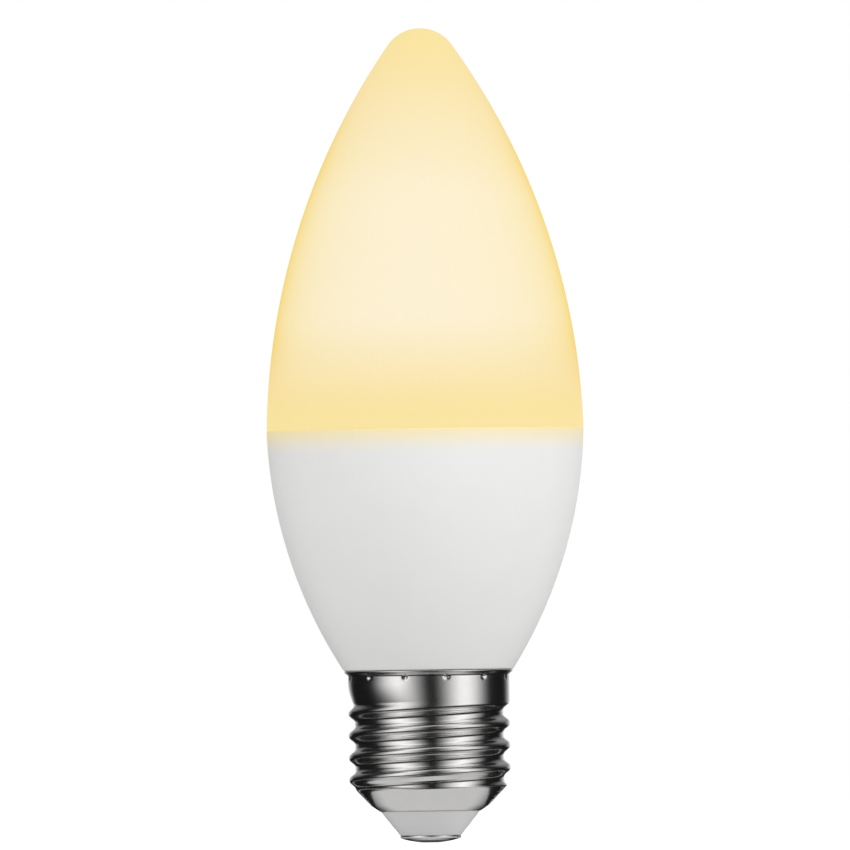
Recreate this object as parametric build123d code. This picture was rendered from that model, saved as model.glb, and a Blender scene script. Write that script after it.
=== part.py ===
from build123d import *
import math
import os

# Candle bulb with an E27 screw cap.
# The bulb stands on its centre contact: the lowest point of the contact is the origin, the axis
# is Z, and the photographed side faces -Y. All sizes are in millimetres.

# Heights along the axis
OVERALL_LENGTH = 133.2
SEAM_HEIGHT = 67.6
RIM_HEIGHT = 28.4
SHELL_END_HEIGHT = 5.15
CONTACT_THICKNESS = 1.2

# Diffuser dome: one long side arc that runs into a round nose
DOME_RADIUS = 25.95
DOME_GIRTH_DROP = 2.6
NOSE_RADIUS = 6.4
SPIGOT_RADIUS = 23.6
SPIGOT_DEPTH = 3.0
SPIGOT_CLEARANCE = 0.05
SEAM_EDGE = 0.2

# Housing: one arc from the seam to the shoulder on the screw shell's rim
HOUSING_ARC_RADIUS = 77.0
SHOULDER_OVERHANG = 0.15
COLLAR_CLEARANCE = 0.05
NECK_CLEARANCE = 0.15
STAKE_GROOVE_HEIGHT = 1.6

# Screw shell: rolled sheet with a right-hand round thread that runs out under a plain skirt
SHEET = 0.35
THREAD_RADIUS = 13.15
THREAD_DEPTH = 1.0
THREAD_PITCH = 25.4 / 7
CREST_LEVEL = 12.2
SKIRT_STEP = 0.05
SKIRT_CORNER_HEIGHT = 23.0
RAMP_SINK = 0.3
LIP_FLARE = 0.6
LIP_BEND = 0.4
TAPER_TOP_HEIGHT = 10.0
SHELL_END_RADIUS = 8.2

# Crimps: punched dimples that stake the shell to the housing
CRIMP_COUNT = 12
CRIMP_WIDTH = 0.9
CRIMP_DEPTH = 0.25
CRIMP_DROP = 1.4
CRIMP_FIRST_ANGLE = -77.0

# Base insulator and centre contact
CONTACT_RADIUS = 5.0
CONTACT_DOME_DEPTH = 0.75
CONTACT_EDGE = 0.12
STEM_RADIUS = 1.5
STEM_LENGTH = 4.0
STEM_CLEARANCE = 0.05
SEAT_CLEARANCE = 0.05
INSULATOR_SET_BACK = 0.1

# How far cutting tools reach past the material
PAST = 0.8

# Sizes that follow from the ones above
girth_height = SEAM_HEIGHT - DOME_GIRTH_DROP
nose_centre_height = OVERALL_LENGTH - NOSE_RADIUS
nose_rise = nose_centre_height - girth_height
dome_arc_radius = (DOME_RADIUS**2 + nose_rise**2 - NOSE_RADIUS**2) / (2 * (DOME_RADIUS - NOSE_RADIUS))
dome_arc_centre = DOME_RADIUS - dome_arc_radius

skirt_radius = THREAD_RADIUS + SKIRT_STEP
skirt_bore = skirt_radius - SHEET
lip_radius = skirt_radius + LIP_FLARE
shoulder_radius = lip_radius + SHOULDER_OVERHANG
collar_radius = skirt_bore - COLLAR_CLEARANCE
collar_height = SKIRT_CORNER_HEIGHT + COLLAR_CLEARANCE
thread_swing = THREAD_DEPTH / 2
neck_radius = THREAD_RADIUS - THREAD_DEPTH - SHEET - NECK_CLEARANCE
crimp_height = RIM_HEIGHT - CRIMP_DROP
stake_groove_radius = skirt_bore - CRIMP_DEPTH - COLLAR_CLEARANCE

taper_slope = (THREAD_RADIUS - SHELL_END_RADIUS) / (TAPER_TOP_HEIGHT - SHELL_END_HEIGHT)
taper_inset = SHEET * math.hypot(1, taper_slope)
shell_hole_radius = SHELL_END_RADIUS - taper_inset
insulator_bed_radius = shell_hole_radius - SEAT_CLEARANCE
insulator_top = SHELL_END_HEIGHT + (neck_radius - insulator_bed_radius) / taper_slope


def dome_radius_at(height):
    """Radius of the dome's side arc at a height."""
    return dome_arc_centre + math.sqrt(dome_arc_radius**2 - (height - girth_height) ** 2)


def turned(*outline):
    """Solid of revolution about Z from a closed outline of radius and height."""
    return revolve(Plane.XZ * make_face(list(outline)), Axis.Z)


def make_diffuser_dome():
    """Milky dome, filled, with a spigot that sits in the housing's rim."""
    nose_angle = math.degrees(math.atan2(nose_rise, -dome_arc_centre))
    edge_top = SEAM_HEIGHT + SEAM_EDGE
    edge_angle = math.degrees(math.asin((edge_top - girth_height) / dome_arc_radius))
    nose = CenterArc((0, nose_centre_height), NOSE_RADIUS, nose_angle, 90 - nose_angle)
    side = CenterArc((dome_arc_centre, girth_height), dome_arc_radius, edge_angle, nose_angle - edge_angle)
    spigot_end = SEAM_HEIGHT - SPIGOT_DEPTH
    foot = Polyline(
        (dome_radius_at(edge_top), edge_top),
        (dome_radius_at(edge_top) - SEAM_EDGE, SEAM_HEIGHT),
        (SPIGOT_RADIUS, SEAM_HEIGHT),
        (SPIGOT_RADIUS, spigot_end),
        (0, spigot_end),
        (0, OVERALL_LENGTH),
    )
    return turned(nose, side, foot)


def make_housing():
    """White body, filled, with a recess for the dome and a neck inside the screw shell."""
    rim_radius = dome_radius_at(SEAM_HEIGHT)
    recess_radius = SPIGOT_RADIUS + SPIGOT_CLEARANCE
    recess_floor = SEAM_HEIGHT - SPIGOT_DEPTH - SPIGOT_CLEARANCE
    rim = Polyline(
        (0, recess_floor),
        (recess_radius, recess_floor),
        (recess_radius, SEAM_HEIGHT),
        (rim_radius - SEAM_EDGE, SEAM_HEIGHT),
        (rim_radius, SEAM_HEIGHT - SEAM_EDGE),
    )
    side = RadiusArc((rim_radius, SEAM_HEIGHT - SEAM_EDGE), (shoulder_radius, RIM_HEIGHT), HOUSING_ARC_RADIUS)
    neck = Polyline(
        (shoulder_radius, RIM_HEIGHT),
        (collar_radius, RIM_HEIGHT),
        (collar_radius, crimp_height + STAKE_GROOVE_HEIGHT / 2),
        (stake_groove_radius, crimp_height + STAKE_GROOVE_HEIGHT / 2),
        (stake_groove_radius, crimp_height - STAKE_GROOVE_HEIGHT / 2),
        (collar_radius, crimp_height - STAKE_GROOVE_HEIGHT / 2),
        (collar_radius, collar_height),
        (neck_radius, collar_height),
        (neck_radius, insulator_top),
        (0, insulator_top),
        (0, recess_floor),
    )
    return turned(rim, side, neck)


def threaded_core(inset, low):
    """Round thread: a flat disc carried along a small helix, always level.

    The disc swings about the axis by half the thread's depth, once in each pitch. The inset makes
    the disc smaller, so that the same call gives the sheet's outer and inner face.
    """
    high = SKIRT_CORNER_HEIGHT + THREAD_DEPTH
    crest_turn = 360 * (low - CREST_LEVEL) / THREAD_PITCH
    start = Pos(0, 0, low) * Rot(0, 0, crest_turn)
    path = start * Helix(THREAD_PITCH, high - low, thread_swing)
    disc = start * Pos(thread_swing, 0) * Circle(THREAD_RADIUS - thread_swing - inset)
    return sweep(disc, path=path, normal=(0, 0, 1))


def taper_cone(inset, low):
    """Cone that trims the thread to the shell's tapered lower end."""
    end_radius = SHELL_END_RADIUS - inset * math.hypot(1, taper_slope)
    low_radius = end_radius - (SHELL_END_HEIGHT - low) * taper_slope
    high_radius = low_radius + (RIM_HEIGHT - low) * taper_slope
    return turned(Polyline((0, low), (low_radius, low), (high_radius, RIM_HEIGHT), (0, RIM_HEIGHT), (0, low)))


def skirt_and_lip(inset, *rim):
    """Plain skirt above the thread: a ramp out of the root, the skirt, the lip's bend and its rim."""
    radius = skirt_radius - inset
    sink = skirt_radius - THREAD_RADIUS + THREAD_DEPTH + RAMP_SINK
    ramp_low = SKIRT_CORNER_HEIGHT - sink
    bend = LIP_BEND + inset
    bend_top = RIM_HEIGHT - SHEET + inset
    flank = Polyline(
        (0, ramp_low),
        (radius - sink, ramp_low),
        (radius, SKIRT_CORNER_HEIGHT),
        (radius, bend_top - bend),
    )
    flare = CenterArc((radius + bend, bend_top - bend), bend, 90, 90)
    closing = Polyline((radius + bend, bend_top), *rim, (0, ramp_low))
    return turned(flank, flare, closing)


def crimp_punches(inset):
    """Ball-nosed punches around the skirt, grown by the inset for the inner face."""
    ball = (CRIMP_WIDTH**2 / 4 + CRIMP_DEPTH**2) / (2 * CRIMP_DEPTH)
    reach = skirt_radius - CRIMP_DEPTH + ball
    spots = PolarLocations(reach, CRIMP_COUNT, start_angle=CRIMP_FIRST_ANGLE)
    return Pos(0, 0, crimp_height) * spots * Sphere(ball + inset)


def make_screw_shell():
    """Nickel-plated sheet with the rolled thread and the crimps, open at both ends."""
    outside = threaded_core(0, SHELL_END_HEIGHT) & taper_cone(0, SHELL_END_HEIGHT)
    outside += skirt_and_lip(0, (lip_radius, RIM_HEIGHT - SHEET), (lip_radius, RIM_HEIGHT), (0, RIM_HEIGHT))
    outside -= crimp_punches(0)
    below = SHELL_END_HEIGHT - PAST
    inside = threaded_core(SHEET, below) & taper_cone(SHEET, below)
    above = RIM_HEIGHT + PAST
    inside += skirt_and_lip(SHEET, (skirt_radius + LIP_BEND, above), (0, above))
    inside -= crimp_punches(SHEET)
    return outside - inside


def make_base_insulator():
    """Grey cone that grips the shell's lower edge and carries the contact's stem."""
    top_radius = SHELL_END_RADIUS - INSULATOR_SET_BACK
    cone = Polyline(
        (0, CONTACT_THICKNESS),
        (CONTACT_RADIUS, CONTACT_THICKNESS),
        (top_radius, SHELL_END_HEIGHT),
        (insulator_bed_radius, SHELL_END_HEIGHT),
        (neck_radius, insulator_top),
        (0, insulator_top),
        (0, CONTACT_THICKNESS),
    )
    bore_depth = STEM_LENGTH + STEM_CLEARANCE
    bore = Pos(0, 0, CONTACT_THICKNESS + bore_depth / 2) * Cylinder(STEM_RADIUS + STEM_CLEARANCE, bore_depth)
    return turned(cone) - bore


def make_centre_contact():
    """Domed contact disc with a stem pressed up into the insulator."""
    stem_top = CONTACT_THICKNESS + STEM_LENGTH
    disc = Polyline(
        (CONTACT_RADIUS, CONTACT_DOME_DEPTH),
        (CONTACT_RADIUS, CONTACT_THICKNESS - CONTACT_EDGE),
        (CONTACT_RADIUS - CONTACT_EDGE, CONTACT_THICKNESS),
        (STEM_RADIUS, CONTACT_THICKNESS),
        (STEM_RADIUS, stem_top),
        (0, stem_top),
        (0, 0),
    )
    dome_radius = (CONTACT_RADIUS**2 + CONTACT_DOME_DEPTH**2) / (2 * CONTACT_DOME_DEPTH)
    dome = RadiusArc((0, 0), (CONTACT_RADIUS, CONTACT_DOME_DEPTH), -dome_radius)
    return turned(disc, dome)


pieces = {
    "diffuser_dome": make_diffuser_dome(),
    "housing": make_housing(),
    "screw_shell": make_screw_shell(),
    "base_insulator": make_base_insulator(),
    "centre_contact": make_centre_contact(),
}

os.makedirs("parts", exist_ok=True)
for name, piece in pieces.items():
    export_step(piece, f"parts/{name}.step")
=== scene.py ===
# %% [markdown]
# # A lit candle bulb
# This lesson dresses a candle-shaped LED bulb that stands on its contact: a milky dome, a white
# body, a rolled metal screw shell, a grey cone and a small domed contact. The sizes follow the
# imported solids, so each piece is made in place and nothing has to be fitted afterwards.

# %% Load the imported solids
import math

import bpy
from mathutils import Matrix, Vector


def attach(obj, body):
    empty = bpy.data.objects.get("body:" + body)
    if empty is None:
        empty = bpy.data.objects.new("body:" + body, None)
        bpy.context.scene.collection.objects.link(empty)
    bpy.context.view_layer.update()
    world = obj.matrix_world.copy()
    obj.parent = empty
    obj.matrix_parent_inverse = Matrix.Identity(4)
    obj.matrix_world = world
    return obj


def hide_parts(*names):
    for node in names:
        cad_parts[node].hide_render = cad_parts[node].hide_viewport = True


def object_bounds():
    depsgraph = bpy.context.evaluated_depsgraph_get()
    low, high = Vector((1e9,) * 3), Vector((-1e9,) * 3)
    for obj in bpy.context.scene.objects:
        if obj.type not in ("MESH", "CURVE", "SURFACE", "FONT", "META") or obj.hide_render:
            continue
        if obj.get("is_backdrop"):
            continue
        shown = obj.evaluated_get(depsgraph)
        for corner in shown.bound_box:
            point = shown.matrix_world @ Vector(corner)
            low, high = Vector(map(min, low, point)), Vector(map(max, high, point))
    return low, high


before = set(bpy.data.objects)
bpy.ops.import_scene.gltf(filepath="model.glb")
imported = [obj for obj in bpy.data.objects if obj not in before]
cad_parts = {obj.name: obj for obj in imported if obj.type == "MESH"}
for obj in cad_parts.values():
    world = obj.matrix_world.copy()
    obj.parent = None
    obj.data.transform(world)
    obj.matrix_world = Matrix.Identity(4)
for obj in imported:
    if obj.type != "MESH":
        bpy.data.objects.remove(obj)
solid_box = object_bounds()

MM = 0.001
print("solids:", ", ".join(sorted(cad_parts)))

# %% [markdown]
# ## Writing node trees as sums
# Both geometry and shader trees grow long when every Math node is placed by hand. One small class
# wraps a socket and answers to plus, minus, times and the rest, so a rule can be written as it
# would be on paper. The board adds any other node by its type, its settings and its sockets, and
# each node that is made hands out its outputs.


# %% Sockets that can be used in sums
class Value:
    """A node's output that can stand in an ordinary sum."""

    def __init__(self, board, socket):
        self.board = board
        self.socket = socket

    def maths(self, operation, *terms):
        return self.board.add("ShaderNodeMath", {"operation": operation}, dict(enumerate(terms)))[0]

    def __add__(self, other):
        return self.maths("ADD", self, other)

    def __sub__(self, other):
        return self.maths("SUBTRACT", self, other)

    def __rsub__(self, other):
        return self.maths("SUBTRACT", other, self)

    def __mul__(self, other):
        return self.maths("MULTIPLY", self, other)

    def __truediv__(self, other):
        return self.maths("DIVIDE", self, other)

    def __rtruediv__(self, other):
        return self.maths("DIVIDE", other, self)

    def __pow__(self, other):
        return self.maths("POWER", self, other)

    __radd__ = __add__
    __rmul__ = __mul__

    def call(self, operation, *terms):
        """Any other Math operation, with this value as its first term."""
        return self.maths(operation, self, *terms)


class Made:
    """A node that gives its outputs by name or number."""

    def __init__(self, board, node):
        self.board = board
        self.node = node

    def __getitem__(self, output):
        return Value(self.board, self.node.outputs[output])


class Board:
    """A node tree, and the one way in which this lesson adds nodes to it."""

    def __init__(self, tree):
        self.tree = tree

    def add(self, kind, settings=None, sockets=None):
        node = self.tree.nodes.new(kind)
        for name, setting in (settings or {}).items():
            setattr(node, name, setting)
        for name, given in (sockets or {}).items():
            if isinstance(given, Value):
                self.tree.links.new(given.socket, node.inputs[name])
            else:
                node.inputs[name].default_value = given
        return Made(self, node)

    def parts_of(self, vector):
        split = self.add("ShaderNodeSeparateXYZ", None, {0: vector})
        return split[0], split[1], split[2]

    def from_axis(self, place):
        """Distance of a place from the bulb's axis."""
        x, y, _ = self.parts_of(place)
        return (x * x + y * y).call("SQRT")

    def rise(self, value, low, high):
        """0 below low, 1 above high, and an S-shaped rise between them."""
        edges = {"Value": value, "From Min": low, "From Max": high}
        return self.add("ShaderNodeMapRange", {"interpolation_type": "SMOOTHSTEP"}, edges)[0]

    def mixed(self, share, first, second):
        """First colour where share is 0, second where it is 1."""
        return self.add("ShaderNodeMix", {"data_type": "RGBA"}, {0: share, 6: first, 7: second})[2]

    def grain(self, place, scale, detail=2.0):
        """Soft noise from 0 to 1; the scale is in cells per metre."""
        sockets = {"Vector": place, "Scale": scale, "Detail": detail, "Roughness": 0.55}
        return self.add("ShaderNodeTexNoise", None, sockets)[0]


print("node helpers ready")

# %% [markdown]
# ## Turned pieces
# The dome, the body, the cone and the contact are all round about one axis, as if turned on a
# lathe. Blender's Screw modifier would do this, but a loop over rings gives full control of the
# poles: an outline that ends on the axis closes to a single point, with no stack of hidden points.

# %% Spin an outline about the axis
ON_AXIS = 1e-6
SHARP_ANGLE = math.radians(40)


def arc(centre, radius, first, last, steps):
    """Points on an arc of the outline, angles in degrees from the outward direction."""
    turns = [math.radians(first + (last - first) * step / steps) for step in range(steps + 1)]
    return [(centre[0] + radius * math.cos(a), centre[1] + radius * math.sin(a)) for a in turns]


def eased(*corners, steps=5):
    """An outline through corners of (radius, height, easing): an eased corner is rounded off."""
    outline = []
    for here, corner in enumerate(corners):
        easing = corner[2] if len(corner) > 2 else 0
        if not easing:
            outline.append(corner[:2])
            continue
        ends = []
        for other in (corners[here - 1], corners[here + 1]):
            share = easing / math.dist(corner[:2], other[:2])
            ends.append([a + (b - a) * share for a, b in zip(corner[:2], other[:2])])
        for step in range(steps + 1):
            t = step / steps
            outline.append(tuple((1 - t) ** 2 * a + 2 * t * (1 - t) * p + t**2 * b
                                 for a, p, b in zip(ends[0], corner[:2], ends[1])))
    return outline


def turned(name, outline, columns=192):
    """A closed round mesh from an outline in mm that runs from the axis below to the axis above."""
    points, faces, rings = [], [], []
    for radius, height in outline:
        count = 1 if radius < ON_AXIS else columns
        rings.append([len(points) + column for column in range(count)])
        for column in range(count):
            angle = math.tau * column / columns
            x, y = radius * MM * math.cos(angle), radius * MM * math.sin(angle)
            points.append((x, y, height * MM))
    for low, high in zip(rings, rings[1:]):
        for column in range(columns):
            beside = (column + 1) % columns
            corners = [low[column % len(low)], low[beside % len(low)],
                       high[beside % len(high)], high[column % len(high)]]
            faces.append(list(dict.fromkeys(corners)))
    mesh = bpy.data.meshes.new(name)
    mesh.from_pydata(points, [], faces)
    mesh.validate()
    mesh.shade_smooth()
    mesh.set_sharp_from_angle(angle=SHARP_ANGLE)
    piece = bpy.data.objects.new(name, mesh)
    bpy.context.scene.collection.objects.link(piece)
    print(f"{name}: {len(mesh.polygons)} faces")
    return piece


# %% [markdown]
# ## The milky dome
# The dome is one long arc that runs smoothly into a round nose. The two circles touch where their
# centres and the touching point lie on one line, so the arc's radius follows from the dome's
# width, its height and the nose. Its lower edge is slightly rounded, as moulded edges are, and
# that rounding is what draws the fine seam line above the body.

# %% Dome outline and mesh
TIP, SEAM, GIRTH = 133.2, 67.6, 65.0
DOME_RADIUS, NOSE_RADIUS = 25.95, 6.4
SPIGOT_RADIUS, SPIGOT_END = 23.6, 64.6
SEAM_EASING = 0.2

nose_centre = TIP - NOSE_RADIUS
nose_rise = nose_centre - GIRTH
side_radius = (DOME_RADIUS**2 + nose_rise**2 - NOSE_RADIUS**2) / (2 * (DOME_RADIUS - NOSE_RADIUS))
side_centre = DOME_RADIUS - side_radius


def dome_radius(height):
    return side_centre + math.sqrt(side_radius**2 - (height - GIRTH) ** 2)


edge = SEAM + SEAM_EASING
edge_turn = math.degrees(math.asin((edge - GIRTH) / side_radius))
nose_turn = math.degrees(math.atan2(nose_rise, -side_centre))
dome_outline = eased((0, SPIGOT_END), (SPIGOT_RADIUS, SPIGOT_END), (SPIGOT_RADIUS, SEAM),
                     (dome_radius(SEAM), SEAM, SEAM_EASING), (dome_radius(edge), edge))[:-1]
dome_outline += arc((side_centre, GIRTH), side_radius, edge_turn, nose_turn, steps=90)
dome_outline += arc((0, nose_centre), NOSE_RADIUS, nose_turn, 90, steps=24)[1:-1] + [(0, TIP)]
milky_dome = turned("milky_dome", dome_outline)
print(f"side arc radius {side_radius:.1f} mm")

# %% [markdown]
# ## The white body
# The body narrows from the seam to the screw shell along one gentle arc, and its wall ends in a
# small shoulder that rests on the shell's flared lip. Below the shoulder a collar and a neck go on
# inside the shell, where they can't be seen. They are kept, so that the mesh is a closed solid.

# %% Body outline and mesh
SHOULDER_RADIUS, SHOULDER_HEIGHT, SHOULDER_EASING = 13.85, 28.25, 0.2
COLLAR_RADIUS, COLLAR_HEIGHT = 12.55, 25.6
NECK_RADIUS, NECK_END = 11.65, 9.07
BODY_ARC_RADIUS = 77.0
RECESS_RADIUS, RECESS_FLOOR = 23.65, 64.55

rim = (dome_radius(SEAM), SEAM - SEAM_EASING)
shoulder = (SHOULDER_RADIUS, SHOULDER_HEIGHT)
half_chord = math.dist(rim, shoulder) / 2
middle = [(a + b) / 2 for a, b in zip(rim, shoulder)]
along = [(a - b) / (2 * half_chord) for a, b in zip(rim, shoulder)]
set_back = math.sqrt(BODY_ARC_RADIUS**2 - half_chord**2)
body_centre = (middle[0] - along[1] * set_back, middle[1] + along[0] * set_back)
low_turn, high_turn = (math.degrees(math.atan2(p[1] - body_centre[1], p[0] - body_centre[0]))
                       for p in (shoulder, rim))
wall = arc(body_centre, BODY_ARC_RADIUS, low_turn, high_turn, steps=80)
body_outline = eased((0, NECK_END), (NECK_RADIUS, NECK_END), (NECK_RADIUS, COLLAR_HEIGHT),
                     (COLLAR_RADIUS, COLLAR_HEIGHT), (COLLAR_RADIUS, SHOULDER_HEIGHT),
                     (*shoulder, SHOULDER_EASING), wall[1])[:-1]
body_outline += wall[1:-1]
body_outline += eased(wall[-2], (rim[0], SEAM, SEAM_EASING), (RECESS_RADIUS, SEAM),
                      (RECESS_RADIUS, RECESS_FLOOR), (0, RECESS_FLOOR))[1:]
white_body = turned("white_body", body_outline)

# %% [markdown]
# ## The grey cone and the contact
# Under the shell sits a cone of light grey plastic that keeps the shell and the centre contact
# apart. The contact is a shallow domed disc with a rounded edge, held by a stem in the cone.

# %% Cone and contact meshes
CONE_TOP_RADIUS, SHELL_END = 8.1, 5.15
CONE_BED_RADIUS = 7.65
CONTACT_RADIUS, CONTACT_TOP, CONTACT_RIM = 5.0, 1.2, 0.75
STEM_RADIUS, STEM_TOP, STEM_GAP = 1.5, 5.2, 0.05
CONE_EASINGS, CONTACT_EASINGS = (0.15, 0.12), (0.12, 0.14)
SMALL_COLUMNS = 144

hole_radius, hole_top = STEM_RADIUS + STEM_GAP, STEM_TOP + STEM_GAP
cone_outline = eased((0, hole_top), (hole_radius, hole_top), (hole_radius, CONTACT_TOP),
                     (CONTACT_RADIUS, CONTACT_TOP, CONE_EASINGS[0]),
                     (CONE_TOP_RADIUS, SHELL_END, CONE_EASINGS[1]),
                     (CONE_BED_RADIUS, SHELL_END), (NECK_RADIUS, NECK_END), (0, NECK_END))
grey_cone = turned("grey_cone", cone_outline, SMALL_COLUMNS)

contact_ball = (CONTACT_RADIUS**2 + CONTACT_RIM**2) / (2 * CONTACT_RIM)
rim_turn = -90 + math.degrees(math.asin(CONTACT_RADIUS / contact_ball))
contact_outline = [(0, 0)] + arc((0, contact_ball), contact_ball, -90, rim_turn, steps=24)[1:-1]
contact_outline += eased(contact_outline[-1], (CONTACT_RADIUS, CONTACT_RIM, CONTACT_EASINGS[0]),
                         (CONTACT_RADIUS, CONTACT_TOP, CONTACT_EASINGS[1]),
                         (STEM_RADIUS, CONTACT_TOP), (STEM_RADIUS, STEM_TOP), (0, STEM_TOP))[1:]
contact_button = turned("contact_button", contact_outline, SMALL_COLUMNS)

# %% [markdown]
# ## The rolled screw shell
# The shell is thin sheet, rolled into a round thread that runs out under a plain skirt, flared to
# a lip at the top and drawn in to a bowl-shaped taper below. It could be modelled row by row, but
# all of it follows one rule: how far the sheet stands from the axis at each angle and height. So a
# flat grid is bent by Geometry Nodes: across the grid is the angle, up the grid is the way along
# the sheet. The crests are narrower than the valleys, which a power of the thread's cosine wave
# gives. Where the thread runs out, its last valley grows shallow and nears its crest, and its
# upper side is long and slack: it draws the foot of the skirt in with it.

# %% Sizes of the shell as named inputs
SHELL = {
    "Columns": 336, "Rows": 142,
    "End height": SHELL_END * MM, "End radius": 8.2 * MM, "End slope": 1.6,
    "Bowl height": 6.2 * MM, "Bowl radius": 9.7 * MM, "Bowl slope": 0.95,
    "Crest radius": 13.2 * MM, "Thread depth": 1.05 * MM, "Crest sharpness": 1.3,
    "Pitch": 25.4 / 7 * MM, "Crest level": 12.2 * MM,
    "Run-out start": 22.7 * MM, "Run-out end": 24.2 * MM,
    "Last valley": 0.4, "Slack end": 1.4, "Slack curve": 1.8,
    "Skirt radius": 13.2 * MM, "Bend start": 27.21 * MM, "Bend radius": 0.5 * MM,
    "Bend turn": math.radians(50), "Lip length": 0.6 * MM,
    "Crimp count": 12, "Crimp height": 27.05 * MM, "First crimp": math.radians(-77),
    "Crimp depth": 0.28 * MM, "Crimp reach": 0.55 * MM, "Crease": 0.4 * MM,
}
SHEET = 0.35 * MM
# Shares of the way along the sheet at which the wall and the bend under the lip end
WALL_END, BEND_END = 0.93, 0.97
# How much of the thread's wave is eased at both ends, and the flat share of a crimp
EASED_WAVE, CRIMP_FLOOR = 0.6, 0.2
MERGE_REACH = 2e-6
print(f"{len(SHELL)} sizes: pitch {SHELL['Pitch'] / MM:.3f} mm, sheet {SHEET / MM:.2f} mm")


# %% Build the shell's tree
def screw_shell_tree():
    """Tree that bends a grid into the shell, and the identifiers of its inputs by name."""
    tree = bpy.data.node_groups.new("rolled screw shell", "GeometryNodeTree")
    kinds = {name: "NodeSocketInt" if isinstance(size, int) else "NodeSocketFloat"
             for name, size in SHELL.items()}
    kinds["Finish"] = "NodeSocketMaterial"
    identifiers = {}
    for name, kind in kinds.items():
        socket = tree.interface.new_socket(name, in_out="INPUT", socket_type=kind)
        identifiers[name] = socket.identifier
    tree.interface.new_socket("Shell", in_out="OUTPUT", socket_type="NodeSocketGeometry")
    board = Board(tree)
    size = board.add("NodeGroupInput")

    spans = {"Size X": 1.0, "Size Y": 1.0,
             "Vertices X": size["Columns"] + 1, "Vertices Y": size["Rows"] + 1}
    grid = board.add("GeometryNodeMeshGrid", None, spans)
    across, up, _ = board.parts_of(board.add("GeometryNodeInputPosition")[0])
    angle = (across + 0.5) * math.tau
    way = up + 0.5

    wall = (way / WALL_END).call("MINIMUM", 1)
    bend = ((way - WALL_END) / (BEND_END - WALL_END)).call("MAXIMUM", 0).call("MINIMUM", 1)
    bend = bend * size["Bend turn"]
    lip = ((way - BEND_END) / (1 - BEND_END)).call("MAXIMUM", 0) * size["Lip length"]
    height = size["End height"] + (size["Bend start"] - size["End height"]) * wall
    rise = size["Bend radius"] * bend.call("SINE") + lip * bend.call("COSINE")
    flare = size["Bend radius"] * (1 - bend.call("COSINE")) + lip * bend.call("SINE")

    def rolled_in(level):
        """1 where the thread has its full depth, 0 above its run-out."""
        return 1 - board.rise(level, size["Run-out start"], size["Run-out end"])

    def slack_valley(past_crest, rolled):
        """Depth of the last valley: steep over its crest, then long and slack."""
        bottom = size["Last valley"] * (0.5 + 0.5 * rolled)
        upper = (size["Slack end"] - past_crest) / (size["Slack end"] - bottom)
        upper = upper.call("MAXIMUM", 0).call("MINIMUM", 1) ** size["Slack curve"]
        return board.rise(past_crest, 0, bottom) * upper

    def running_out(level):
        """0 where valleys are round, 1 where they are slack."""
        return board.rise(level, size["Run-out start"] - size["Pitch"] / 3, size["Run-out start"])

    turn = (height - size["Crest level"]) / size["Pitch"] - angle / math.tau
    past_crest = turn - turn.call("FLOOR")
    valley_height = height - (past_crest - 0.5) * size["Pitch"]
    wave = (0.5 + 0.5 * (past_crest * math.tau).call("COSINE")) ** size["Crest sharpness"]
    valley = 1 - (1 - EASED_WAVE) * wave - EASED_WAVE * board.rise(wave, 0, 1)
    ending = running_out(valley_height)
    rolled = rolled_in(valley_height)
    valley = rolled * (valley + ending * (slack_valley(past_crest, rolled) - valley))
    lower_height = valley_height - size["Pitch"]
    rolled = rolled_in(lower_height)
    slack = rolled * running_out(lower_height) * slack_valley(past_crest + 1, rolled)

    plain = size["Skirt radius"] + (size["Crest radius"] - size["Skirt radius"]) * rolled_in(height)
    threaded = plain - size["Thread depth"] * (valley + slack)
    bowl = size["Bowl radius"] + (height - size["Bowl height"]) * size["Bowl slope"]
    end = size["End radius"] + (height - size["End height"]) * size["End slope"]
    bowl = bowl.call("SMOOTH_MIN", end, size["Crease"])
    radius = threaded.call("SMOOTH_MIN", bowl, size["Crease"])

    step = math.tau / size["Crimp count"]
    beside = (angle - size["First crimp"]).call("WRAP", step / 2, step / -2) * size["Skirt radius"]
    above = height + rise - size["Crimp height"]
    reach = (beside * beside + above * above).call("SQRT") / size["Crimp reach"]
    dent = size["Crimp depth"] * (1 - board.rise(reach, CRIMP_FLOOR, 1))
    radius = radius + flare - dent

    x, y, z = radius * angle.call("COSINE"), radius * angle.call("SINE"), height + rise
    place = board.add("ShaderNodeCombineXYZ", None, {0: x, 1: y, 2: z})[0]
    bent = board.add("GeometryNodeSetPosition", None, {0: grid["Mesh"], "Position": place})
    closed = board.add("GeometryNodeMergeByDistance", None, {0: bent[0], "Distance": MERGE_REACH})
    smooth = board.add("GeometryNodeSetShadeSmooth", None, {0: closed[0]})
    real = board.add("GeometryNodeRealizeInstances", None, {0: smooth[0]})
    finished = board.add("GeometryNodeSetMaterial", None, {0: real[0], "Material": size["Finish"]})
    board.add("NodeGroupOutput", None, {0: finished[0]})
    return tree, identifiers


shell_tree, shell_inputs = screw_shell_tree()
print("shell tree:", len(shell_tree.nodes), "nodes")

# %% [markdown]
# ## Nickel plate
# The plating is bright and neutral, but not a mirror: rolling leaves faint lines around the shell,
# the plate is cloudy on a scale of a few millimetres, and skirt and crests are a little duller
# from handling, while the valleys keep their shine. All of that comes from Object coordinates, so
# it stays on the piece from every side. The distance from the axis tells crest from valley.


# %% Metal finish
def fresh_finish(name):
    material = bpy.data.materials.new(name)
    material.use_nodes = True
    material.node_tree.nodes.clear()
    board = Board(material.node_tree)
    place = board.add("ShaderNodeTexCoord")["Object"]
    return material, board, place


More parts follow.
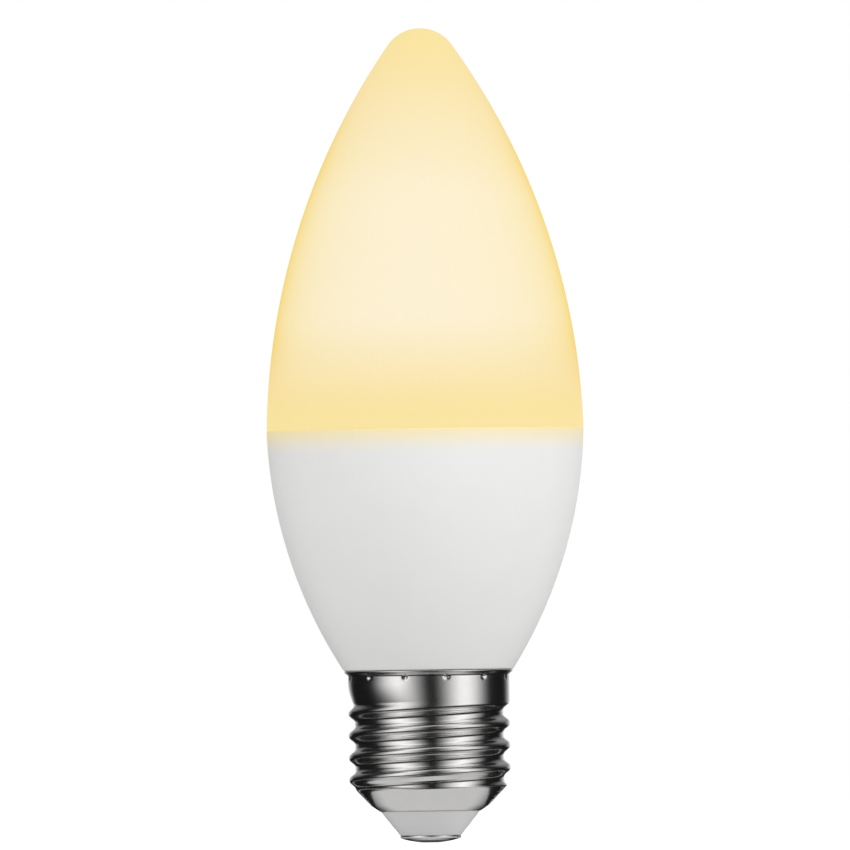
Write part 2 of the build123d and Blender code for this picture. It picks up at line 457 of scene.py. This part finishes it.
def show(board, **sockets):
    """Principled shader with the given sockets, joined to the output."""
    named = {name.replace("_", " "): value for name, value in sockets.items()}
    shader = board.add("ShaderNodeBsdfPrincipled", None, named)
    board.add("ShaderNodeOutputMaterial", None, {"Surface": shader[0]})


def bumped(board, relief, depth):
    """Surface normal from a height between 0 and 1 and its depth in metres."""
    sockets = {"Strength": 1.0, "Distance": depth, "Height": relief}
    return board.add("ShaderNodeBump", None, sockets)[0]


BRIGHT_NICKEL, DULL_NICKEL = (0.97, 0.96, 0.95, 1), (0.82, 0.81, 0.80, 1)
CLOUD_GRAIN, SCUFF_GRAIN = 450.0, 2600.0
SCUFFED, WORN_SHARE, LINE_SHARE = (0.62, 0.78), 0.55, 0.7
PLATE_ROUGHNESS, DULL_ADDS, LINES_ADD, SCUFFS_ADD = 0.13, 0.06, 0.04, 0.06
PLATE_RELIEF = 0.003 * MM


def nickel_plate(name, worn_from, worn_to, stretch):
    """Bright nickel that grows duller between two distances from the axis."""
    material, board, place = fresh_finish(name)
    worn = board.rise(board.from_axis(place), worn_from * MM, worn_to * MM)
    stretched = board.add("ShaderNodeMapping", None, {"Vector": place, "Scale": stretch})[0]
    lines = board.grain(stretched, 1.0, 3.0)
    cloud = board.grain(place, CLOUD_GRAIN, 3.0)
    scuffs = board.rise(board.grain(place, SCUFF_GRAIN, 4.0), *SCUFFED)
    dull = worn * WORN_SHARE + cloud * (1 - WORN_SHARE)
    relief = lines * LINE_SHARE + cloud * (1 - LINE_SHARE)
    show(board, Base_Color=board.mixed(dull, BRIGHT_NICKEL, DULL_NICKEL), Metallic=1.0,
         Roughness=PLATE_ROUGHNESS + DULL_ADDS * dull + LINES_ADD * lines + SCUFFS_ADD * scuffs,
         Normal=bumped(board, relief, PLATE_RELIEF))
    return material


shell_nickel = nickel_plate("shell_nickel", worn_from=12.6, worn_to=13.1, stretch=(90, 90, 4200))
contact_nickel = nickel_plate("contact_nickel", worn_from=0.5, worn_to=4.5,
                              stretch=(900, 900, 9000))
print("metal finishes:", shell_nickel.name, contact_nickel.name)

# %% [markdown]
# ## From tree to plain mesh
# A modifier's inputs are set by identifier before the object is looked at for the first time. A
# Solidify modifier then gives the sheet its thickness, inwards, so that the outer face keeps its
# size. The result is copied to a plain mesh, because an exported piece can't carry the tree along.

# %% Roll the shell
screw_cap = bpy.data.objects.new("rolled_shell", bpy.data.meshes.new("rolled_shell"))
bpy.context.scene.collection.objects.link(screw_cap)
roller = screw_cap.modifiers.new("roll", "NODES")
roller.node_group = shell_tree
for name, size in SHELL.items():
    roller[shell_inputs[name]] = size
roller[shell_inputs["Finish"]] = shell_nickel
wall_maker = screw_cap.modifiers.new("sheet", "SOLIDIFY")
wall_maker.thickness = SHEET
wall_maker.offset = -1
depsgraph = bpy.context.evaluated_depsgraph_get()
rolled = bpy.data.meshes.new_from_object(screw_cap.evaluated_get(depsgraph))
screw_cap.modifiers.clear()
screw_cap.data = rolled
print(f"rolled_shell: {sum(len(p.vertices) - 2 for p in rolled.polygons)} triangles")

# %% [markdown]
# ## Lit milky plastic
# A milky dome is full of fine white filler that scatters the light of the LEDs inside. The middle,
# nearest to the LEDs, glows pale, and the tip and the foot glow a deeper yellow. A glow by height
# gives that from every side. Towards the edge of the dome light has come through more plastic and
# is yellower: a clear coat with a warm tint does the same, because one looks through more of it at
# a slant. The coat covers a little more of the dome than the pale glow does. The plastic's own
# colour stays low, so that the glow and the lamps together don't clip.

# %% Dome finish
# Heights in mm between which the pale glow and the coat set in above the seam and fade to the tip
PALE_SETS_IN, PALE_FADES = (69.5, 87), (104, 132)
COAT_SETS_IN, COAT_FADES = (68.5, 83), (109, 132)
DEEP_GLOW, PALE_GLOW = (0.856, 0.693, 0.311, 1), (0.885, 0.845, 0.82, 1)
COAT_TINT = (0.99, 0.94, 0.747, 1)
DARK_FILLER, LIGHT_FILLER = (0.085, 0.074, 0.046, 1), (0.10, 0.088, 0.055, 1)
FILLER_GRAIN, FILLER_SWING = 900.0, 0.06
SATIN_GRAIN, SATIN_RELIEF, DOME_ROUGHNESS, SATIN_ADDS = 5200.0, 0.004 * MM, 0.5, 0.12


def milky_plastic():
    """White-filled plastic that glows, under a warm clear coat."""
    material, board, place = fresh_finish("lit_milky_plastic")
    height = board.parts_of(place)[2] / MM
    pale = board.rise(height, *PALE_SETS_IN) * (1 - board.rise(height, *PALE_FADES))
    coated = board.rise(height, *COAT_SETS_IN) * (1 - board.rise(height, *COAT_FADES))
    filler = board.grain(place, FILLER_GRAIN, 3.0)
    satin = board.grain(place, SATIN_GRAIN)
    pale = pale * (1 - FILLER_SWING / 2 + FILLER_SWING * filler)
    show(board, Base_Color=board.mixed(filler, DARK_FILLER, LIGHT_FILLER),
         Roughness=DOME_ROUGHNESS + SATIN_ADDS * satin, Specular_IOR_Level=0.06,
         Emission_Color=board.mixed(pale, DEEP_GLOW, PALE_GLOW), Emission_Strength=1.0,
         Coat_Weight=coated, Coat_Roughness=0.6, Coat_IOR=1.02, Coat_Tint=COAT_TINT,
         Normal=bumped(board, satin, SATIN_RELIEF))
    return material


milky = milky_plastic()
print("dome finish:", milky.name)

# %% [markdown]
# ## Satin plastics
# The body is white moulded plastic with a very fine spark-eroded texture. Just below the seam a
# warm tint and a faint glow are painted on by height: painted light for the dome's light leaking
# down.
# The cone is the same kind of plastic in light grey. Two sizes of noise keep both from looking
# like one flat paint.

# %% Body and cone finishes
WHITE, SHADED_WHITE = (0.80, 0.80, 0.795, 1), (0.77, 0.77, 0.765, 1)
GREY, SHADED_GREY = (0.70, 0.70, 0.70, 1), (0.66, 0.66, 0.66, 1)
# The warm tint and glow near the seam are painted light: they stand in for the dome's light leaking
# down
PAINTED_LEAK_WHITE, LEAK_GLOW = (0.48, 0.416, 0.27, 1), (0.47, 0.36, 0.08, 1)
LEAK_FROM, LEAK_TO = SEAM - 4.6, SEAM + 2.0
MOULD_CLOUD, MOULD_TEXTURE, MOULD_RELIEF, TEXTURE_SHARE = 160.0, 4200.0, 0.006 * MM, 0.8
MOULD_ROUGHNESS, TEXTURE_ADDS, CLOUD_ADDS = 0.42, 0.1, 0.06


def satin_plastic(name, light, dark, warm=None):
    """Moulded plastic between two close tones; warm is a painted tint and glow near the seam, for
    the dome's leaking light.
    """
    material, board, place = fresh_finish(name)
    cloud = board.grain(place, MOULD_CLOUD, 3.0)
    texture = board.grain(place, MOULD_TEXTURE)
    colour = board.mixed(cloud, light, dark)
    glow = {}
    if warm:
        # Painted light by height: the dome's light leaking down, as a warm tint and a glow
        height = board.parts_of(place)[2] / MM
        leak = board.rise(height, LEAK_FROM, LEAK_TO)
        colour = board.mixed(leak, colour, warm)
        glow = {"Emission_Color": board.mixed(leak, (0, 0, 0, 1), LEAK_GLOW),
                "Emission_Strength": 1.0}
    relief = texture * TEXTURE_SHARE + cloud * (1 - TEXTURE_SHARE)
    show(board, Base_Color=colour, Specular_IOR_Level=0.4,
         Roughness=MOULD_ROUGHNESS + TEXTURE_ADDS * texture + CLOUD_ADDS * cloud,
         Normal=bumped(board, relief, MOULD_RELIEF), **glow)
    return material


white_plastic = satin_plastic("white_plastic", WHITE, SHADED_WHITE, PAINTED_LEAK_WHITE)
grey_plastic = satin_plastic("grey_plastic", GREY, SHADED_GREY)
print("plastic finishes:", white_plastic.name, grey_plastic.name)

# %% [markdown]
# ## Joining looks and solids
# Each piece takes its finish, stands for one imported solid, and rides on the part's only body.

# %% Finish, replace and ride
DRESSED = {
    milky_dome: (milky, "diffuser_dome", "milky_diffuser"),
    white_body: (white_plastic, "housing", "white_housing"),
    screw_cap: (shell_nickel, "screw_shell", "nickel_shell"),
    grey_cone: (grey_plastic, "base_insulator", "grey_insulator"),
    contact_button: (contact_nickel, "centre_contact", "nickel_contact"),
}
for piece, (finish, node, slot) in DRESSED.items():
    piece.data.materials.clear()
    piece.data.materials.append(finish)
    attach(piece, "root")
    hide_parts(node)
    print(piece.name, "stands for", node)

# %% [markdown]
# ## White studio
# The background is white because the world answers camera, glossy and transmission rays with plain
# white, while it lights the object only softly. The pale floor glows a little for the same rays,
# more so far off, where the lamps don't reach. The rest of its brightness is reflected light, so
# the bulb's shadow stays on it.


# %% World and floor
def seen_rays(board, straight, mirrored):
    """One strength for the camera's rays, another for mirrored and see-through ones, else 0."""
    path = board.add("ShaderNodeLightPath")
    bounced = path["Is Glossy Ray"].call("MAXIMUM", path["Is Transmission Ray"])
    return (straight * path["Is Camera Ray"]).call("MAXIMUM", mirrored * bounced)


WORLD_FILL = 0.55
world = bpy.data.worlds.new("white_studio")
bpy.context.scene.world = world
world.use_nodes = True
world.node_tree.nodes.clear()
sky = Board(world.node_tree)
strength = WORLD_FILL + (1 - WORLD_FILL) * seen_rays(sky, 1, 1)
backdrop = sky.add("ShaderNodeBackground", None, {"Color": (1, 1, 1, 1), "Strength": strength})
sky.add("ShaderNodeOutputWorld", None, {"Surface": backdrop[0]})

FLOOR_COLOUR, FAR_OFF = (0.7, 0.7, 0.7, 1), (0.3, 1.5)
NEAR_GLOW, EXTRA_GLOW, MIRRORED_GLOW = 0.54, 0.2, 0.45
floor_finish, board, place = fresh_finish("pale_floor")
far_off = board.rise(board.from_axis(place), *FAR_OFF)
strength = seen_rays(board, NEAR_GLOW + EXTRA_GLOW * far_off, MIRRORED_GLOW)
matt = board.add("ShaderNodeBsdfDiffuse", None, {"Color": FLOOR_COLOUR})
glow = board.add("ShaderNodeEmission", None, {"Color": (1, 1, 1, 1), "Strength": strength})
both = board.add("ShaderNodeAddShader", None, {0: matt[0], 1: glow[0]})
board.add("ShaderNodeOutputMaterial", None, {"Surface": both[0]})


def stage_piece(name, points, faces, finish):
    """A piece of the studio, not of the bulb."""
    mesh = bpy.data.meshes.new(name)
    mesh.from_pydata(points, [], faces)
    mesh.materials.append(finish)
    piece = bpy.data.objects.new(name, mesh)
    bpy.context.scene.collection.objects.link(piece)
    piece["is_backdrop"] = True
    return piece


FLOOR = 6.0
corners = [(-FLOOR, -FLOOR, 0), (FLOOR, -FLOOR, 0), (FLOOR, FLOOR, 0), (-FLOOR, FLOOR, 0)]
stage_piece("floor", corners, [(0, 1, 2, 3)], floor_finish)
print("white studio ready")

# %% [markdown]
# ## Black flags for the metal
# Bright metal in an all-white room looks like white plastic. Studios stand black cards around it,
# so that dark bands run down the metal. Here a round black wall stands about the bulb, with two
# tall, soft-edged windows in front and a low one behind, which goes on upwards only dimly. The
# windows go on over the floor, where they fade towards the foot, and a black card hangs above. The
# bowl and the downward sides of the thread look at the floor near the foot: there lie two pale
# patches, a grey card that is dim behind, and a grey and a dark spot under the contact. The dark
# spot is a painted shadow: it stands in for the floor in the contact's shadow. Only reflections
# see all this: it casts no shadow and stays out of view.

# %% Flag finishes
# Each window or patch is its turn and half width in degrees and how far it opens
FRONT_WINDOWS = ((-46, 47, 1.0), (52, 47, 1.0))
WINDOWS = (*FRONT_WINDOWS, (178, 44, 1.0))
HIGH_WINDOWS = (*FRONT_WINDOWS, (178, 70, 0.3))
FRONT_CARD = ((-70, 70, 1.0), (0, 70, 1.0), (70, 70, 1.0), (180, 80, 0.25))
FRONT_SPOT = ((0, 85, 1.0),)
BLACK = (0.01, 0.01, 0.01, 1)


def flag_finish(name, windows=(), tone=None, fade=None):
    """Black card with windows, or with patches of one tone. They can set in softly between two
    distances from the bulb."""
    material, board, place = fresh_finish(name)
    x, y, _ = board.parts_of(place)
    turn = x.call("ARCTAN2", y * -1)
    opened = 0.0
    for middle, half, share in windows:
        apart = (turn - math.radians(middle)).call("WRAP", math.pi, -math.pi).call("ABSOLUTE")
        opened = opened + share * (1 - board.rise(apart, 0, math.radians(half)))
    if fade:
        opened = opened * board.rise(board.from_axis(place), *fade)
    black = board.add("ShaderNodeBsdfDiffuse", None, {"Color": BLACK})
    if tone:
        window = board.add("ShaderNodeEmission", None, {"Color": (tone, tone, tone, 1)})
    else:
        window = board.add("ShaderNodeBsdfTransparent")
    card = board.add("ShaderNodeMixShader", None, {0: opened, 1: black[0], 2: window[0]})
    board.add("ShaderNodeOutputMaterial", None, {"Surface": card[0]})
    return material


def card_finish(name, tone):
    """Card of one tone, which glows so that the bulb's shadow doesn't darken it."""
    material, board, _ = fresh_finish(name)
    glow = board.add("ShaderNodeEmission", None, {"Color": (tone, tone, tone, 1)})
    board.add("ShaderNodeOutputMaterial", None, {"Surface": glow[0]})
    return material


low_windows = flag_finish("window_flag", WINDOWS)
high_windows = flag_finish("high_flag", HIGH_WINDOWS)
floor_windows = flag_finish("floor_flag", WINDOWS, fade=(0.06, 0.3))
all_black = flag_finish("black_flag")
pale_patches = flag_finish("pale_ring", FRONT_WINDOWS, tone=0.55)
front_card = flag_finish("grey_card", FRONT_CARD, tone=0.55)
front_spot = flag_finish("grey_spot", FRONT_SPOT, tone=0.5)
# The dark spot is a painted contact shadow: it stands in for the shaded floor under the contact
painted_shadow_card = card_finish("painted_shadow_spot", tone=0.06)
print(f"{len(WINDOWS)} windows on the floor, {len(HIGH_WINDOWS)} up the wall")

# %% Flags
# Reaches from the axis and heights, in metres
WALL, RING, CARD, SPOT, DARK, PINHOLE = 0.8, 0.035, 0.0165, 0.0056, 0.0031, 0.0001
WALL_FOOT, LOW_TOP, HIGH_TOP = 0.001, 0.16, 2.8
CARD_LEVEL, SPOT_LEVEL = 0.0005, 0.00005


def flag(name, inner, outer, low, high, finish, steps=96):
    """A ring about the bulb that only reflections see, from one reach and height to another."""
    points, faces = [], []
    for step in range(steps):
        a = math.tau * step / steps
        for reach, level in ((inner, low), (outer, high)):
            points.append((reach * math.sin(a), -reach * math.cos(a), level))
        here, beside = 2 * step, 2 * ((step + 1) % steps)
        faces.append((here, here + 1, beside + 1, beside))
    card = stage_piece(name, points, faces, finish)
    card.visible_camera = card.visible_diffuse = False
    card.visible_transmission = card.visible_shadow = False


flag("flag_wall", WALL, WALL, WALL_FOOT, LOW_TOP, low_windows)
flag("flag_high_wall", WALL, WALL, LOW_TOP, HIGH_TOP, high_windows)
flag("flag_floor", RING, WALL, WALL_FOOT, WALL_FOOT, floor_windows)
flag("flag_above", PINHOLE, WALL, HIGH_TOP, HIGH_TOP, all_black)
flag("pale_ring", CARD, RING, CARD_LEVEL, CARD_LEVEL, pale_patches)
flag("grey_card", SPOT, CARD, CARD_LEVEL, CARD_LEVEL, front_card)
flag("grey_spot", DARK, SPOT, SPOT_LEVEL, SPOT_LEVEL, front_spot)
# Painted contact shadow under the contact, seen only in reflections
flag("painted_shadow_spot", PINHOLE, DARK, SPOT_LEVEL, SPOT_LEVEL, painted_shadow_card)
print(f"flags stand {WALL} m away and lie around the foot")

# %% [markdown]
# ## Lamps and camera
# Two tall soft lamps stand to the right and to the left of the camera, and a third behind the bulb
# lights its back. The right one is stronger, so the body is lighter on its right side. The camera
# is far away with a long lens, looks up by half a degree from close to the floor, and leans by
# less than a degree, because the photographed bulb does too.

# %% Lamps
LIT_HEIGHT = 0.06


def soft_lamp(name, turn, distance, height, width, tall, watts):
    """A soft lamp on a turn in degrees from the camera's side, aimed at the lit height."""
    lamp = bpy.data.lights.new(name, "AREA")
    lamp.shape = "RECTANGLE"
    lamp.size, lamp.size_y, lamp.energy = width, tall, watts
    stand = bpy.data.objects.new(name, lamp)
    a = math.radians(turn)
    stand.location = (distance * math.sin(a), -distance * math.cos(a), height)
    stand.rotation_euler = (math.pi / 2 - math.atan2(height - LIT_HEIGHT, distance), 0, a)
    stand.visible_glossy = False
    bpy.context.scene.collection.objects.link(stand)
    print(f"{name}: {watts} W")


soft_lamp("lamp_right", turn=58, distance=1.3, height=0.6, width=0.9, tall=1.2, watts=12.2)
soft_lamp("lamp_left", turn=-52, distance=1.3, height=0.5, width=0.9, tall=1.0, watts=7.9)
soft_lamp("lamp_back", turn=175, distance=1.3, height=0.5, width=0.9, tall=1.0, watts=4.2)

# %% Camera
AIM_HEIGHT, DISTANCE = 0.0683, 6.0
SENSOR_WIDTH, VIEW_WIDTH = 36, 0.1390
LEAN, LOOK_UP = math.radians(0.82), math.radians(0.54)
lens = bpy.data.cameras.new("photo_camera")
lens.sensor_width = SENSOR_WIDTH
lens.lens = SENSOR_WIDTH * DISTANCE / VIEW_WIDTH
camera = bpy.data.objects.new("photo_camera", lens)
camera.rotation_euler = (math.pi / 2 + LOOK_UP, LEAN, 0)
backwards = camera.rotation_euler.to_matrix() @ Vector((0, 0, DISTANCE))
camera.location = Vector((0, 0, AIM_HEIGHT)) + backwards
bpy.context.scene.collection.objects.link(camera)
bpy.context.scene.camera = camera
bpy.context.scene.view_settings.view_transform = "Standard"
print(f"lens {lens.lens:.0f} mm at {DISTANCE} m")

# %% Measure and finish
dressed_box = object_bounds()
for label, box in (("solids", solid_box), ("dressed", dressed_box)):
    print(label, [[round(number / MM, 2) for number in corner] for corner in box])
